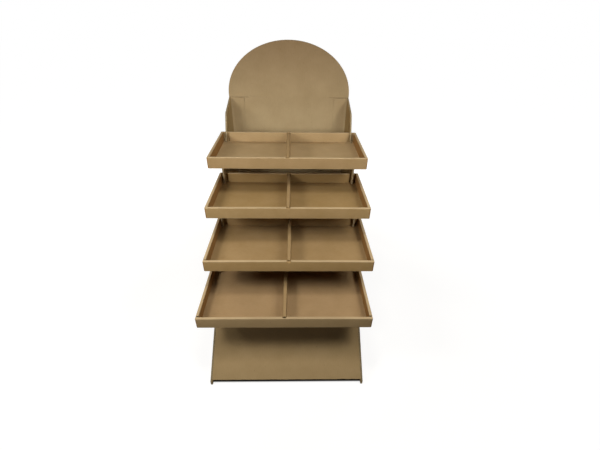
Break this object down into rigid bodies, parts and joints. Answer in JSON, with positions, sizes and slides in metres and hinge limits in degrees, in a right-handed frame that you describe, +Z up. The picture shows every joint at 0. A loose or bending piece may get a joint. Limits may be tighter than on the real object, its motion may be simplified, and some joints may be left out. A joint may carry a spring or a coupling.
{
  "type": "cardboard display stand",
  "caption": "Free-standing stepped display stand of brown corrugated board, with shallow divided trays on stair-cut side panels and an arched header",
  "frame": {"origin": "on the floor, under the middle of the stand's box", "axes": "+X to the right as seen from the front, +Y towards the header, +Z up"},
  "size_m": [0.614, 0.937, 1.042],
  "materials": {
    "heavy_board": "matt brown kraft, double-wall corrugated board",
    "front_board": "matt brown kraft, single-wall corrugated board",
    "tray_board": "matt brown kraft, thin single-wall corrugated board",
    "divider_board": "matt brown kraft, thin single-wall corrugated board"
  },
  "bodies": {
    "root": {"back_panel": "heavy_board", "side_panel_left": "heavy_board", "side_panel_right": "heavy_board", "front_panel": "front_board", "tray_1": "tray_board", "tray_2": "tray_board", "tray_3": "tray_board", "tray_4": "tray_board", "divider_1": "divider_board", "divider_2": "divider_board", "divider_3": "divider_board", "divider_4": "divider_board"}
  },
  "joints": []
}
